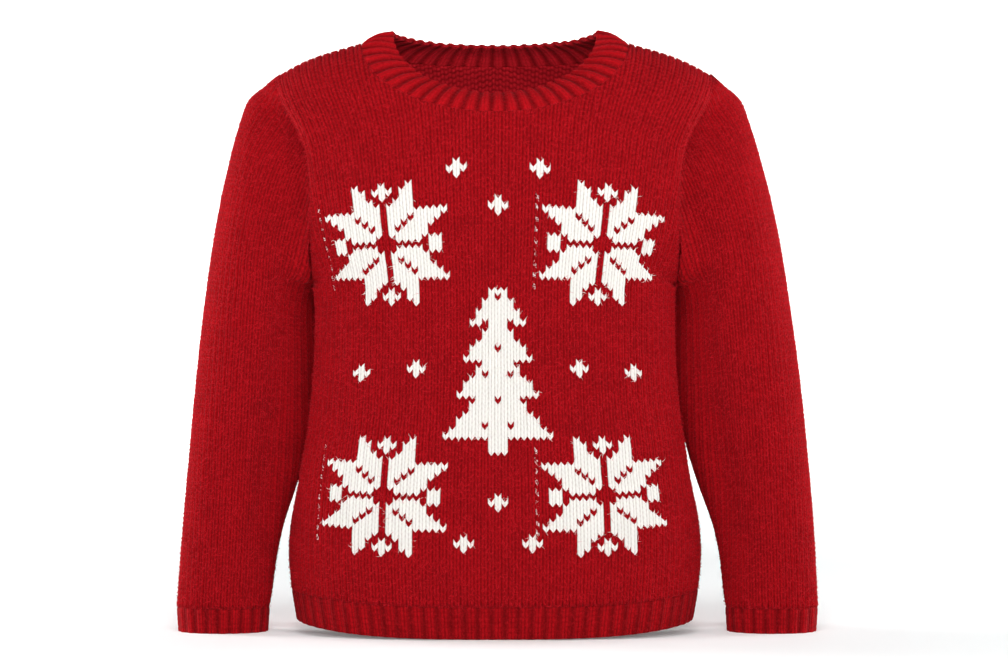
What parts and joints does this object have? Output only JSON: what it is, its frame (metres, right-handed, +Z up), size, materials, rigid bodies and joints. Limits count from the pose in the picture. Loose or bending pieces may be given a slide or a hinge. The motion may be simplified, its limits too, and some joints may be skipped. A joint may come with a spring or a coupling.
{
  "type": "christmas sweater",
  "caption": "Child's hollow crew-neck knitted sweater, filled out as if worn, with ribbed neckband, hem and cuffs and a knitted winter motif.",
  "frame": {"origin": "midway between the two shoulder points of the neck seam, where a wearer's shoulders hold the sweater", "axes": "+X to the sweater's left as worn, -Y to its front, +Z up"},
  "size_m": [0.4755, 0.1527, 0.45],
  "materials": {
    "red_wool": "matt",
    "red_rib": "matt"
  },
  "bodies": {
    "root": {"front": "red_wool", "back": "red_wool", "sleeve_left": "red_wool", "sleeve_right": "red_wool", "neckband": "red_rib", "hem_front": "red_rib", "hem_back": "red_rib", "cuff_left": "red_rib", "cuff_right": "red_rib"}
  },
  "joints": []
}
